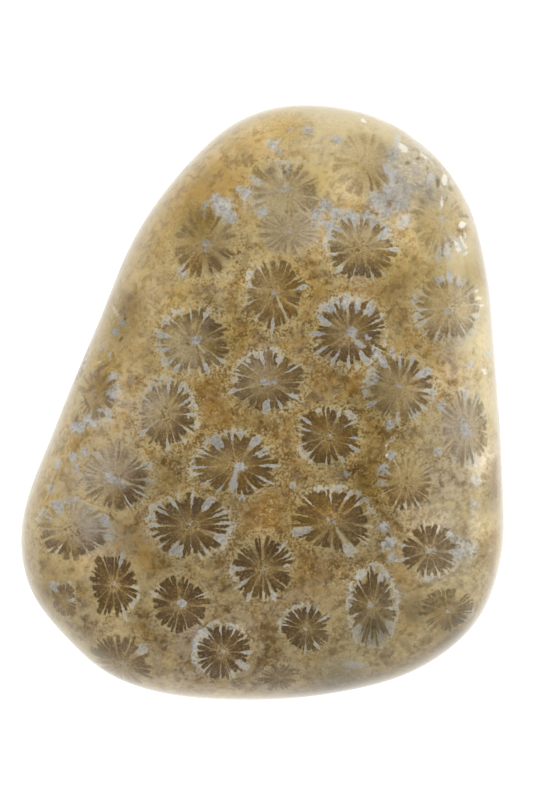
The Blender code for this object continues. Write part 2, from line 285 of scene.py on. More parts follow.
AGATE_BLOTCHES = (
    (-11.15, 6.3, 0.5, 0.22, -60, 1.0), (-11.7, 5.65, 0.34, 0.24, -20, 0.9),
    (-12.8, 4.35, 0.3, 0.26, 40, 0.8), (-12.1, 3.75, 0.5, 0.16, 80, 0.7),
    (-11.65, 2.0, 0.55, 0.24, 5, 1.0), (-11.65, 1.25, 0.34, 0.24, 10, 0.9),
    (-12.0, 0.65, 0.5, 0.38, -40, 1.0), (-12.8, -0.7, 0.45, 0.24, 10, 0.9),
    (-13.9, -1.3, 0.55, 0.32, 60, 1.0), (-15.0, -2.0, 0.55, 0.34, 80, 1.0),
    (-14.35, -2.05, 0.45, 0.26, 70, 1.0), (15.7, 12.4, 1.0, 0.75, -55, 0.7),
    (14.6, 12.15, 0.85, 0.22, 90, 1.0), (14.2, 9.8, 0.34, 0.34, 0, 0.9), (14.9, 9.9, 0.5, 0.24, -70, 1.0),
    (15.6, 9.65, 0.55, 0.26, 90, 1.0), (16.95, 6.9, 0.45, 0.28, 10, 0.9),
    (16.75, 5.6, 0.45, 0.32, -30, 0.9), (18.0, 3.85, 0.4, 0.28, 30, 0.8), (16.6, -8.6, 2.4, 0.2, 89, 0.5),
    (9.55, -11.4, 0.6, 0.18, 88, 0.7), (12.6, 20.5, 1.9, 0.42, -43, 0.9),
    (10.7, 20.8, 0.8, 0.34, 80, 0.9), (10.1, 18.4, 0.9, 0.42, -50, 1.0), (13.4, 17.9, 0.5, 0.4, 60, 0.8),
    (1.95, 18.6, 0.55, 0.2, 75, 0.8), (15.1, 17.5, 0.4, 0.24, -50, 0.8), (5.4, 7.45, 0.62, 0.3, 115, 0.9),
    (6.5, 7.75, 0.55, 0.32, 90, 0.9), (7.55, 7.6, 0.78, 0.24, 85, 0.9), (8.65, 7.25, 0.7, 0.24, 60, 0.9),
    (9.4, 6.85, 0.42, 0.24, 40, 0.8), (4.6, 6.75, 0.5, 0.22, 130, 0.8), (8.3, 5.1, 0.6, 0.22, -45, 0.8),
    (9.05, 3.95, 0.85, 0.28, -55, 0.9), (10.3, 4.0, 0.62, 0.24, 100, 0.9),
    (8.95, 1.85, 0.48, 0.24, -45, 0.9), (8.15, 1.2, 0.5, 0.28, 170, 0.8), (4.5, 14.2, 0.8, 0.4, 10, 0.7),
    (11.2, 14.3, 0.9, 0.6, 40, 0.8), (10.7, -15.6, 0.3, 1.4, 0, 0.6), (7.0, -15.4, 0.28, 1.3, 0, 0.5),
    (7.3, -20.9, 1.1, 0.42, -5, 0.8), (-5.4, -19.3, 0.9, 0.3, 78, 0.8), (-4.9, -18.3, 0.7, 0.32, 50, 0.9),
    (-5.4, -20.5, 0.8, 0.26, 102, 0.7), (7.4, -18.2, 0.6, 0.26, -60, 0.7),
    (10.2, -18.3, 0.6, 0.26, 60, 0.7), (9.9, -13.9, 0.55, 0.3, -45, 0.8),
    (7.8, -13.8, 0.55, 0.3, 45, 0.8), (15.0, -10.7, 0.8, 0.34, -40, 0.8),
    (13.2, -14.1, 0.8, 0.28, 10, 0.8), (15.5, -12.1, 0.45, 0.8, 0, 0.8),
    (-2.4, -17.9, 0.5, 0.26, -10, 0.7), (-15.6, -7.9, 1.5, 0.3, 12, 0.6),
    (-12.4, -9.4, 0.34, 0.8, 10, 0.8),
)
QUARTZ_BLOTCHES = (
    (-11.7, 7.2, 0.95, 0.19, -55, 0.8), (-14.35, 0.35, 0.5, 0.16, -65, 0.7),
    (-12.9, 3.2, 0.55, 0.16, 28, 0.5), (8.05, 22.4, 0.34, 0.18, -40, 1.0),
    (14.5, 17.7, 0.55, 0.28, 85, 1.2), (15.9, 14.1, 0.38, 0.26, 10, 1.2),
    (15.4, 12.6, 0.45, 0.14, -50, 0.9), (15.8, 12.95, 0.45, 0.14, -62, 0.9),
    (15.6, 12.05, 0.4, 0.14, -40, 0.9), (16.1, 12.4, 0.4, 0.16, -55, 0.9),
    (16.25, 11.85, 0.4, 0.14, 30, 0.9), (16.1, 13.25, 0.34, 0.16, -70, 0.8),
    (17.1, 8.2, 0.5, 0.16, 20, 0.9), (17.25, 7.6, 0.5, 0.16, 10, 0.9), (17.0, 8.8, 0.4, 0.14, 30, 0.8),
    (17.65, 2.45, 0.34, 0.26, 0, 0.8), (14.27, 15.8, 0.7, 0.15, 88, 1.0),
    (11.2, 20.2, 0.6, 0.34, -40, 0.9), (12.9, 19.5, 0.6, 0.22, -45, 0.8),
    (10.1, -1.3, 0.2, 0.15, 90, 0.7), (10.0, -2.1, 0.26, 0.15, 80, 0.7),
    (10.05, -2.9, 0.22, 0.14, 90, 0.7), (9.9, -3.5, 0.22, 0.14, 90, 0.7),
    (9.85, -4.2, 0.26, 0.15, 80, 0.7),
)

# Cloudy places in the silica: x, y, size (mm), how much paler, how much more golden
CLOUDY_PLACES = (
    (-5.2, 14.6, 1.3, -1.3, 1.3), (-6.0, 17.2, 1.5, 0.0, 0.6), (-7.4, 12.8, 1.5, 0.0, 0.5),
    (-5.8, 11.2, 1.0, 0.5, 0.2), (-3.4, 15.4, 0.8, 0.6, -0.3), (-4.8, 18.1, 0.9, -0.4, 0.0),
    (9.8, 12.2, 0.9, 0.7, 0.0), (-2.2, 17.0, 1.6, 0.3, 0.0), (1.4, 22.6, 1.6, 0.2, 0.7),
    (-0.2, 21.6, 1.1, 0.6, 0.0), (1.2, 19.4, 1.6, 0.4, 0.0), (0.6, 20.2, 0.8, 0.0, -0.6),
    (7.0, 17.0, 1.3, 1.1, -0.5), (6.4, 19.4, 1.0, 0.5, 0.0), (4.6, 17.8, 1.1, 0.0, 0.6),
    (9.2, 19.8, 1.3, 0.0, 0.5), (11.0, 14.2, 1.3, 0.7, -0.8), (4.6, 14.2, 1.3, 0.3, -0.8),
    (7.8, 14.4, 1.2, 0.1, -0.5), (11.6, 12.6, 1.2, 0.7, 0.1), (13.6, 16.8, 1.2, -0.7, 0.0),
    (10.2, 20.0, 1.2, -0.5, 0.0), (12.2, 17.8, 1.2, -0.3, 0.0), (3.8, 20.4, 1.1, 0.2, -0.3),
    (-3.2, 20.0, 1.0, 0.4, -0.2), (4.4, 12.3, 1.3, 0.6, -0.3), (13.8, 14.4, 1.3, 0.0, 0.5),
    (7.0, 11.4, 1.2, 0.3, 0.2), (7.8, 9.6, 1.2, -0.2, -0.4), (2.6, 9.4, 1.4, 0.0, 0.6),
    (10.6, 10.0, 1.6, -0.4, 0.5), (13.6, 9.6, 1.4, -0.2, 0.4), (17.4, 10.4, 1.4, -0.9, 0.7),
    (15.4, 7.0, 1.1, 0.6, 0.0), (7.2, 7.8, 1.1, 0.6, -0.5), (4.5, 5.7, 0.9, -0.4, 0.7),
    (8.9, 4.1, 0.9, 0.5, -0.2), (6.6, 4.6, 0.6, 0.7, -0.2), (-0.6, 10.3, 1.2, 0.6, 0.0),
    (-2.3, 9.2, 0.9, 0.6, -0.2), (-2.2, 4.4, 0.7, -0.6, 0.3), (1.8, 7.4, 0.9, 0.5, 0.3),
    (-6.8, 7.2, 1.4, 0.3, 0.4), (-2.6, 5.4, 0.9, -0.3, 0.6), (-0.2, 3.6, 1.2, 0.3, -1.0),
    (-1.0, 5.5, 1.1, 0.0, 0.5), (-3.8, 7.4, 0.8, 0.0, -0.4), (4.8, 3.0, 1.4, -0.3, -0.5),
    (9.2, 0.2, 1.4, -1.1, 0.5), (12.0, 1.1, 0.9, 0.8, 0.0), (13.2, 1.4, 1.0, 0.4, -0.4),
    (15.2, 2.0, 1.2, 1.1, -0.8), (14.6, 4.2, 1.3, -0.3, -0.6), (15.8, 3.1, 0.7, 0.0, 0.7),
    (15.0, -1.4, 1.7, 0.0, -0.6), (15.2, -6.0, 1.7, 0.6, -0.7), (18.0, -5.0, 1.0, 1.2, -0.9),
    (16.2, -4.2, 0.7, -0.5, 0.0), (11.8, -7.9, 1.0, 0.0, -0.7), (8.5, -5.5, 1.4, -0.8, 0.6),
    (6.6, -3.2, 1.4, 0.0, 0.6), (8.3, -7.3, 1.2, -0.8, 1.0), (4.9, -8.3, 1.1, 1.1, 0.2),
    (9.4, -3.2, 1.1, 0.0, 0.4), (5.8, -5.0, 0.8, -0.7, 0.2), (10.6, -7.3, 0.8, 0.6, 0.0),
    (17.4, -10.5, 0.9, 0.9, 0.0), (13.6, -10.0, 1.3, 1.2, -0.4), (11.9, -9.4, 1.2, 0.9, 0.0),
    (6.8, -8.0, 0.9, 0.6, 0.0), (18.6, -8.3, 0.9, -0.7, 0.2), (15.0, -11.8, 1.5, 0.0, -1.1),
    (13.8, -14.0, 1.0, 0.5, -0.6), (3.2, -9.9, 1.6, -0.2, 0.7), (6.2, -10.6, 0.9, -0.5, 0.0),
    (10.6, -15.6, 1.0, 0.1, -0.8), (9.0, -18.3, 1.1, -1.6, 0.0), (12.2, -16.6, 1.0, -1.2, 0.0),
    (15.4, -18.2, 1.4, -1.1, 0.4), (6.2, -22.2, 2.0, -1.1, 0.0), (10.8, -20.2, 1.6, -0.1, 0.4),
    (7.4, -18.4, 0.8, -0.2, -0.4), (14.8, -16.8, 1.5, 0.0, 0.7), (17.6, 13.0, 1.2, -0.4, 0.0),
    (3.2, -15.8, 1.2, 0.0, -0.5), (0.6, -14.2, 1.3, 0.4, 0.0), (-1.0, -18.2, 1.2, 0.7, -0.4),
    (-5.0, -19.0, 1.7, 0.0, -0.8), (-6.0, -16.4, 1.4, 0.6, 0.0), (-12.0, -18.3, 1.4, 1.2, 0.0),
    (-15.0, -6.6, 1.1, -0.2, -0.9), (-13.8, -10.0, 1.5, -0.5, -0.9), (-10.6, -10.8, 1.4, -0.7, -0.8),
    (-13.0, -7.4, 1.1, 0.7, 0.1), (-3.8, -19.8, 1.2, 0.5, 0.0), (-7.2, -11.8, 1.1, -0.5, 0.0),
    (-13.4, -12.8, 1.4, 0.0, -0.4), (-16.2, -10.6, 1.1, 0.9, 0.2), (0.0, -9.8, 1.0, 0.6, 0.0),
    (6.6, -13.9, 0.9, 0.8, 0.0), (-14.0, -12.4, 1.1, 0.8, 0.0), (-11.6, -14.8, 1.2, 0.7, 0.0),
    (-16.8, -8.6, 1.1, 0.0, 0.5), (-12.0, -5.0, 1.9, 0.0, -0.7), (-11.2, -0.8, 1.7, 0.4, -0.8),
    (-10.2, 1.2, 1.3, 0.3, -0.5), (-13.6, 1.2, 0.9, -0.7, 1.0), (-0.6, -0.2, 1.1, -0.5, 0.0),
    (-6.6, -1.4, 1.1, 0.5, 0.0), (-12.8, 2.8, 1.4, -0.3, 1.1), (-11.0, 7.8, 1.2, -0.9, 1.2),
    (-11.4, 5.8, 1.1, -0.9, 0.9), (-8.9, 8.3, 1.2, 0.8, -0.6), (-1.4, 15.6, 1.0, 0.0, -0.5),
    (-8.6, -6.6, 1.3, -0.7, -0.1), (-3.4, -7.2, 1.1, -0.5, 0.1), (-9.0, 0.2, 0.9, -0.4, -0.2),
    (-3.6, -3.2, 0.8, -0.6, 0.6), (-2.8, -6.4, 0.9, 0.0, 0.6), (-1.2, -2.0, 1.1, -0.2, 0.5),
    (-1.8, -5.0, 0.9, 0.4, 0.2), (-1.6, -8.6, 1.0, -0.4, -0.4), (-4.2, -9.8, 0.9, 0.5, 0.0),
    (-17.6, -15.8, 1.1, -0.7, 0.5), (-12.6, -20.0, 1.2, -0.6, 0.0), (18.7, -10.8, 1.0, -0.2, 0.5),
    (-6.0, -22.4, 1.6, 0.2, -0.4), (0.6, -22.8, 1.8, -0.2, -0.4), (-6.6, 4.6, 1.1, -0.4, 0.0),
    (17.4, -2.4, 0.9, 0.3, 0.0),
)


def soft_spots(places, spots):
    """Strength of the nearest of a list of soft round spots, 0 to 1."""
    strength = np.zeros(len(places))
    for x, y, size, *given in spots:
        gap = np.hypot(places[:, 0] / MM - x, places[:, 1] / MM - y) / size
        strength = np.maximum(strength, (given[0] if given else 1.0) * np.exp(-0.7 * gap**2))
    return strength


def blotches_on(places, blotches):
    """Strength of the strongest of a list of long soft blotches."""
    strength = np.zeros(len(places))
    for x, y, half_length, half_width, turn, given in blotches:
        strength = np.maximum(strength, given * soft_oval(places, x, y, half_length, half_width, turn))
    return strength


def write_attribute(name, domain, columns):
    """Stores three numbers for each point or each face corner of the stone."""
    layer = stone.data.attributes.new(name, "FLOAT_VECTOR", domain)
    layer.data.foreach_set("vector", np.stack(columns, 1).astype(np.float32).ravel())


def straight_up(places):
    """Where each place's coral tube meets the level of the polished face."""
    return places[:, :2] / (1.0 - FLARE * (FACE - places[:, 2:3]))


mesh = stone.data
corner_point = np.empty(len(mesh.loops), np.int32)
mesh.loops.foreach_get("vertex_index", corner_point)
face_sizes = np.empty(len(mesh.polygons), np.int32)
mesh.polygons.foreach_get("loop_total", face_sizes)
face_middles = np.empty(len(mesh.polygons) * 3, np.float32)
mesh.polygons.foreach_get("center", face_middles)
middles = face_middles.reshape(-1, 3).astype(float)
corners = points[corner_point]
risen = straight_up(points)

# The tubes that leave through the side. Drawn for each: its shift along the side, half width, half
# height and level above the underside, in millimetres
SIDE_CUP_LEAST = (-0.9, 1.3, 1.9, 2.6)
SIDE_CUP_MOST = (0.9, 2.3, 3.2, 3.8)
SIDE_NATURE_LEAST = (0.45, 0.2, 0.15)  # darkness, warmth, sharpness
SIDE_NATURE_MOST = (0.95, 0.95, 1.0)
SIDE_SPACING = 4.7 * MM
SIDE_START = 1.0 * MM
SIDE_STAGGER = 1.9 * MM  # every second one sits higher by this
SIDE_TOP = 7.9 * MM  # none reaches above this level
SIDE_BOTTOM = 0.3 * MM  # and none comes within 1.3 of its half height of this one
SIDE_DEPTH = 4.0 * MM  # how far in from the outline a side cup can show
CLEAR_OF_FACE = 1.5  # least distance from a cup of the face, in that cup's half widths
FAR_OFF = 9.0  # stands for a distance at which a cup has no say
SECTORS = 240  # directions in which the outline is measured

bearing = np.arctan2(points[:, 1], points[:, 0]) / (2.0 * math.pi) % 1.0
sector = (bearing * SECTORS).astype(int) % SECTORS
sector_reach = np.zeros(SECTORS)
np.maximum.at(sector_reach, sector, np.hypot(points[:, 0], points[:, 1]))
sector_turn = (np.arange(SECTORS) + 0.5) / SECTORS * 2.0 * math.pi
outline = sector_reach[:, None] * np.stack((np.cos(sector_turn), np.sin(sector_turn)), 1)
travelled = np.cumsum(np.linalg.norm(outline - np.roll(outline, 1, 0), axis=1))
side_rng = np.random.default_rng(5)
side_cups = []
for number, start in enumerate(np.arange(0.0, travelled[-1] - 0.6 * SIDE_SPACING, SIDE_SPACING)):
    shift, half_width, half_height, level = side_rng.uniform(SIDE_CUP_LEAST, SIDE_CUP_MOST) * MM
    level = max(level + number % 2 * SIDE_STAGGER, SIDE_BOTTOM + 1.3 * half_height)
    level = min(level, SIDE_TOP - half_height)
    at = int(np.searchsorted(travelled, start + shift + SIDE_START)) % SECTORS
    along = outline[(at + 4) % SECTORS] - outline[at - 4]
    along /= np.linalg.norm(along)
    met = straight_up(np.array([[*outline[at], level]]))[0] / MM
    nearest = min(math.hypot((met[0] - cup[0]) / cup[2], (met[1] - cup[1]) / cup[3]) for cup in CUPS)
    if nearest > CLEAR_OF_FACE:
        side_cups.append((outline[at], along, half_width, half_height, level))
cup_count = len(CUPS) + len(side_cups)


def place_in_cup(places, index):
    """Places in a cup's own measure: 1 is its half width across and its half height along."""
    if index < len(CUPS):
        x, y, half_width, half_height = (value * MM for value in CUPS[index][:4])
        return (straight_up(places) - (x, y)) / (half_width, half_height)
    middle, along, half_width, half_height, level = side_cups[index - len(CUPS)]
    gap = places[:, :2] - middle
    own = np.stack((gap @ along / half_width, (places[:, 2] - level) / half_height), 1)
    own[gap @ (along[1], -along[0]) < -SIDE_DEPTH] = FAR_OFF
    return own


every_distance = [np.linalg.norm(place_in_cup(middles, index), axis=1) for index in range(cup_count)]
owner = np.repeat(np.stack(every_distance, 1).argmin(1), face_sizes)
local = np.zeros((len(corners), 2))
corner_distance = np.zeros((len(corners), cup_count))
for index in range(cup_count):
    own = place_in_cup(corners, index)
    local[owner == index] = own[owner == index]
    corner_distance[:, index] = np.linalg.norm(own, axis=1)
own_distance = corner_distance[np.arange(len(corners)), owner]
corner_distance[np.arange(len(corners)), owner] = FAR_OFF
margin = np.clip(corner_distance.min(1) - own_distance, 0.0, 1.0)

rng = np.random.default_rng(11)
blurred = np.array([cup[6] for cup in CUPS]) < 0.5
chambers = np.where(blurred, rng.integers(7, 9, len(CUPS)), rng.integers(11, 13, len(CUPS)))
chambers = np.where([cup[2] < 1.3 for cup in CUPS], 5, chambers)
chambers = chambers + rng.uniform(0.05, 0.95, len(CUPS))
side_chambers = side_rng.integers(9, 12, len(side_cups)) + side_rng.uniform(0.05, 0.95, len(side_cups))
chambers = np.concatenate((chambers, side_chambers))
angle = np.arctan2(local[:, 1], local[:, 0])


def hour_angle(hour):
    """Direction of a clock hour round a cup, from +X."""
    return math.radians(90.0 - 30.0 * hour)


def towards_hours(hours, sharpness):
    """1 where a corner lies towards one of the clock hours, falling off on both sides."""
    near = np.zeros(len(angle))
    for hour in hours:
        near = np.maximum(near, np.exp((np.cos(angle - hour_angle(hour)) - 1.0) * sharpness))
    return near


columns = np.zeros((len(corners), 8))
for index, cup in enumerate(CUPS):
    mine = owner == index
    dark, warm, sharp, drops, crust, bead, strand, shade = cup[4:] + PLAIN_HEART[len(cup) - 9 :]
    side = np.cos(angle - hour_angle(shade[0])) * np.minimum(own_distance * 2.0, 1.0) * 0.55
    strand_turn = hour_angle(strand[0])
    columns[mine, 0] = (dark * (1.0 + shade[1] * side))[mine]
    columns[mine, 1] = warm
    columns[mine, 2] = (sharp * (1.0 + 0.5 * shade[1] * side))[mine]
    columns[mine, 3] = towards_hours(drops, 30.0)[mine]
    columns[mine, 4] = towards_hours(crust, 9.0)[mine]
    columns[mine, 5] = math.cos(strand_turn) * strand[1]
    columns[mine, 6] = math.sin(strand_turn) * strand[1]
    columns[mine, 7] = bead

for index in range(len(CUPS), cup_count):
    mine = owner == index
    columns[mine, :3] = side_rng.uniform(SIDE_NATURE_LEAST, SIDE_NATURE_MOST)
    columns[mine, 3] = towards_hours(side_rng.uniform(0.0, 12.0, 5), 30.0)[mine]
    columns[mine, 4] = towards_hours(side_rng.uniform(0.0, 12.0, 2), 9.0)[mine] * 0.9

write_attribute("cup_place", "CORNER", (local[:, 0], local[:, 1], chambers[owner]))
write_attribute("cup_nature", "CORNER", (columns[:, 0], columns[:, 1], columns[:, 2]))
write_attribute("cup_agate", "CORNER", (columns[:, 3], columns[:, 4], margin))
write_attribute("cup_heart", "CORNER", (columns[:, 5], columns[:, 6], columns[:, 7]))
write_attribute(
    "stains_and_sheen",
    "POINT",
    (soft_spots(risen, HONEY_SPOTS), soft_spots(risen, UMBER_SPOTS), soft_spots(risen, CREAM_AND_SHEEN_SPOTS)),
)
write_attribute(
    "finish",
    "POINT",
    (soft_spots(risen, AGATE_SPOTS), pitted * on_face, soft_oval(risen, *SHARP_MIDDLE)),
)
cloudiness = np.zeros((3, len(risen)))
for x, y, size, paler, golden in CLOUDY_PLACES:
    near = np.exp(-0.7 * ((risen[:, 0] / MM - x) ** 2 + (risen[:, 1] / MM - y) ** 2) / size**2)
    cloudiness += np.outer((paler, golden, 0.0), near * on_face)
write_attribute("cloudiness", "POINT", cloudiness)
write_attribute(
    "blotches",
    "POINT",
    (
        blotches_on(points, DARK_BLOTCHES) * on_face,
        blotches_on(points, AGATE_BLOTCHES) * on_face,
        blotches_on(points, QUARTZ_BLOTCHES) * on_face,
    ),
)

# --- The stone: its colour and polish ---------------------------------------------------------------
# Silica took the coral's place grain by grain: brown, see-through chambers between pale plates,
# blue-grey agate where the silica was pure, and a grainy ochre mass between the cups.


class Recipe:
    """Short calls that lay out a material's nodes. A number or another node's output can be fed in."""

    def __init__(self, name):
        self.material = bpy.data.materials.new(name)
        self.material.use_nodes = True
        self.tree = self.material.node_tree
        self.shader = self.tree.nodes["Principled BSDF"]

    def feed(self, socket, value):
        """Links a socket, or sets its number."""
        if isinstance(value, bpy.types.NodeSocket):
            self.tree.links.new(value, socket)
        elif value is not None:
            socket.default_value = value

    def add(self, kind, values=(), **settings):
        """A new node with its settings and its inputs in order."""
        node = self.tree.nodes.new("ShaderNode" + kind)
        for name, value in settings.items():
            setattr(node, name, value)
        for socket, value in zip(node.inputs, values):
            self.feed(socket, value)
        return node

    def sum(self, a, b):
        return self.add("Math", (a, b), operation="ADD").outputs[0]

    def less(self, a, b):
        return self.add("Math", (a, b), operation="SUBTRACT").outputs[0]

    def times(self, a, b):
        return self.add("Math", (a, b), operation="MULTIPLY").outputs[0]

    def math(self, operation, a, b=None):
        return self.add("Math", (a, b), operation=operation).outputs[0]

    def line(self, value, factor, offset):
        """value * factor + offset"""
        return self.add("Math", (value, factor, offset), operation="MULTIPLY_ADD").outputs[0]

    def ramp(self, value, start, end, low=0.0, high=1.0):
        """Smooth step of a value from start to end."""
        values = (value, start, end, low, high)
        return self.add("MapRange", values, interpolation_type="SMOOTHSTEP").outputs[0]

    def within(self, value, bound):
        """The value, held between -bound and bound."""
        return self.math("MAXIMUM", self.math("MINIMUM", value, bound), -bound)

    def blend(self, share, a, b):
        """Colour a with a share of colour b."""
        node = self.add("Mix", data_type="RGBA")
        for index, value in ((0, share), (6, a), (7, b)):
            self.feed(node.inputs[index], paint(value) if isinstance(value, str) else value)
        return node.outputs[2]

    def flecks(self, colour, grain, *kinds):
        """Colour with flecks where a grain runs from start to end: start, end, share, fleck's colour."""
        for start, end, share, fleck in kinds:
            colour = self.blend(self.times(self.ramp(grain, start, end), share), colour, fleck)
        return colour

    def noise(self, place, scale, detail=2.0, roughness=0.5, distortion=0.0):
        node = self.add("TexNoise")
        names = ("Vector", "Scale", "Detail", "Roughness", "Distortion")
        for name, value in zip(names, (place, scale, detail, roughness, distortion)):
            self.feed(node.inputs[name], value)
        return node.outputs[0]

    def parts(self, vector):
        return self.add("SeparateXYZ", (vector,)).outputs

    def vector(self, x, y, z):
        return self.add("CombineXYZ", (x, y, z)).outputs[0]

    def vectors(self, operation, a, b=None):
        return self.add("VectorMath", (a, b), operation=operation).outputs[0]

    def length(self, x, y):
        return self.add("VectorMath", (self.vector(x, y, 0.0),), operation="LENGTH").outputs["Value"]

    def attribute(self, name):
        return self.parts(self.add("Attribute", attribute_name=name).outputs["Vector"])


def paint(code):
    """Colour from a six-digit code as seen on a screen."""
    channels = [int(code[index : index + 2], 16) / 255 for index in (0, 2, 4)]
    linear = [c / 12.92 if c <= 0.04045 else ((c + 0.055) / 1.055) ** 2.4 for c in channels]
    return (*linear, 1.0)


r = Recipe("polished_fossil_coral")
place_mm = r.add("Mapping", (r.add("TexCoord").outputs["Object"],)).outputs[0]
place_mm.node.inputs["Scale"].default_value = (1000.0, 1000.0, 1000.0)
u, v, chamber_code = r.attribute("cup_place")
darkness, warmth, sharpness = r.attribute("cup_nature")
agate_drops, agate_crust, margin_value = r.attribute("cup_agate")
strand_x, strand_y, bead_size = r.attribute("cup_heart")
honey, umber, cream_and_sheen = r.attribute("stains_and_sheen")
agate_spot, pitted_value, crisp = r.attribute("finish")
dark_blotch, agate_blotch, quartz_blotch = r.attribute("blotches")
paler, more_golden, _ = r.attribute("cloudiness")

# Grain of the stone, from broad clouds to single grains
clouds = r.noise(place_mm, 0.42, 2.0, 0.6, 0.6)
tones = r.noise(place_mm, 0.75, 3.0, 0.6, 0.5)
blotches = r.noise(place_mm, 1.15, 3.0, 0.60, 0.5)
mottle = r.noise(place_mm, 2.4, 3.0, 0.6, 0.3)
grains = r.noise(place_mm, 5.2, 2.0, 0.55, 0.3)

# Ground mass: brown in the middle of the face, duller at its wide end, golden and paler elsewhere
place_x, place_y, height = r.parts(place_mm)
wide_end = r.ramp(r.sum(place_y, r.times(place_x, -0.25)), -2.0, -15.0)
# Painted haze: this mask rises down the curved rim, where the pale reflection and glow of the white
# surroundings is painted into the colour
painted_rim_haze = r.ramp(height, 10.7, 7.4)
ground_dark = r.blend(crisp, "8f6f30", "604417")
ground_dark = r.blend(wide_end, ground_dark, "624e2e")
ground_light = r.blend(crisp, "ccb176", "a78e58")
ground_light = r.blend(wide_end, ground_light, "93805d")
ground = r.blend(r.ramp(blotches, 0.40, 0.59), ground_dark, ground_light)
ground = r.flecks(
    ground,
    tones,
    (0.52, 0.60, r.line(crisp, 0.35, 0.35), r.blend(crisp, "a08f6e", "827358")),
    (0.49, 0.40, r.line(wide_end, -0.35, 0.65), r.blend(crisp, "b8954a", "98732a")),
)
ground = r.flecks(
    ground,
    mottle,
    (0.51, 0.62, 0.40, "b7a275"),
    (0.49, 0.38, r.line(crisp, 0.58, 0.10), "58401a"),
)
ground = r.flecks(
    ground,
    clouds,
    (0.50, 0.36, r.line(crisp, 0.22, 0.26), r.blend(crisp, "86662e", "5f4718")),
    (0.50, 0.64, 0.30, r.blend(crisp, "ceb880", "b49d69")),
)
honey_colour = r.blend(crisp, "b8934a", "9c7129")
ground = r.blend(r.times(honey, r.ramp(blotches, 0.35, 0.6, 0.35, 0.85)), ground, honey_colour)
ground = r.blend(r.times(umber, r.ramp(mottle, 0.3, 0.6, 1.0, 0.5)), ground, "58411a")
# Cream patches, paler towards the right: pale ground mass, and a painted sheen on the side the light
# comes from
cream_and_sheen_colour = r.blend(r.ramp(place_x, -5.0, 5.0), "c9b07a", "d9c99d")
ground = r.blend(r.times(cream_and_sheen, r.ramp(mottle, 0.3, 0.6, 0.65, 1.0)), ground, cream_and_sheen_colour)
# Painted haze on the rim: the ground mass turns a greyer pale tan there
ground = r.blend(r.times(painted_rim_haze, r.ramp(mottle, 0.3, 0.7, 0.35, 0.65)), ground, "b9ab88")
grainy = r.times(r.line(crisp, 0.82, 0.08), r.ramp(r.noise(place_mm, 0.95, 2.0), 0.44, 0.60, 0.12, 1.1))
ground = r.flecks(
    ground,
    grains,
    (0.53, 0.66, r.times(grainy, 0.62), "c6b488"),
    (0.47, 0.32, r.times(grainy, 0.42), "513b16"),
)

# Polar place in the cup, with crumpled edges, a wandering outline and unevenly spaced plates
crumple_x, crumple_y, _ = r.parts(r.noise(place_mm, 3.0, 2.0, 0.6).node.outputs["Color"])
u = r.sum(u, r.line(crumple_x, 0.09, -0.045))
v = r.sum(v, r.line(crumple_y, 0.09, -0.045))
code_fraction = r.math("FRACT", chamber_code)
plates = r.math("FLOOR", chamber_code)
seed = r.times(code_fraction, 37.0)
heading = r.vectors("NORMALIZE", r.vector(u, v, 0.0))
ring_place = r.vectors("ADD", heading, r.vector(0.0, 0.0, seed))
reach = r.length(u, v)
reach = r.times(reach, r.line(r.noise(ring_place, 1.4, 1.0), 0.36, 0.80))
wiggle = r.noise(r.vector(u, v, seed), 2.6, 2.0)
turns = r.times(r.math("ARCTAN2", v, u), r.times(plates, 1.0 / (2.0 * math.pi)))
turns = r.sum(turns, r.line(r.noise(ring_place, 2.4, 1.0), 1.4, -0.7))
turns = r.sum(turns, r.line(wiggle, 0.26, -0.13))
step = r.math("FRACT", turns)
finger = r.math("FLOORED_MODULO", r.math("FLOOR", r.times(turns, 2.0)), r.times(plates, 2.0))
plate = r.math("FLOORED_MODULO", r.math("ROUND", turns), plates)
chamber = r.math("FLOORED_MODULO", r.math("FLOOR", turns), plates)


def luck(number, kind):
    """Three lasting random numbers for one numbered plate, chamber or finger of a cup."""
    node = r.add("TexWhiteNoise", (r.vector(number, seed, kind),), noise_dimensions="3D")
    return r.parts(node.outputs["Color"])


finger_luck, finger_luck_2, finger_luck_3 = luck(finger, 9.0)
chamber_luck, chamber_luck_2, chamber_luck_3 = luck(chamber, 0.0)
plate_luck, plate_luck_2, plate_luck_3 = luck(plate, 5.0)
arc = r.math("DIVIDE", r.times(reach, 2.0 * math.pi), plates)
from_plate = r.times(r.math("MINIMUM", step, r.less(1.0, step)), arc)
from_short_plate = r.times(r.math("ABSOLUTE", r.less(step, 0.5)), arc)

# Plates widen towards the rim; a short plate stands in each chamber's mouth and makes two fingers of it
plate_half = r.sum(r.ramp(reach, 0.25, 0.7, 0.002, 0.012), r.ramp(reach, 0.70, 1.04, 0.0, 0.042))
plate_half = r.sum(plate_half, r.line(plate_luck, 0.022, -0.006))
petal_gap = r.times(r.ramp(sharpness, 0.62, 0.25, 0.0, 0.050), r.ramp(reach, 0.15, 0.65))
plate_half = r.sum(plate_half, petal_gap)
short_start = r.line(chamber_luck, 0.30, 0.54)
short_half = r.sum(
    r.ramp(reach, short_start, r.sum(short_start, 0.16), -0.04, 0.004),
    r.ramp(reach, 0.70, 1.04, 0.0, 0.040),
)
short_half = r.sum(r.sum(short_half, petal_gap), r.line(chamber_luck_2, 0.024, -0.010))
softness = r.ramp(sharpness, 0.1, 1.0, 0.11, 0.035)
clarity = r.ramp(sharpness, 0.0, 0.6, 0.40, 1.0)
mouth = r.line(finger_luck_2, 0.22, 0.88)
from_wall = r.math("MINIMUM", r.less(from_plate, plate_half), r.less(from_short_plate, short_half))
from_edge = r.add("Math", (from_wall, r.less(mouth, reach), 0.10), operation="SMOOTH_MIN").outputs[0]
open_chamber = r.times(
    r.ramp(from_edge, -0.022, softness),
    r.ramp(r.sum(reach, r.times(chamber_luck_3, -0.12)), 0.10, 0.26),
)

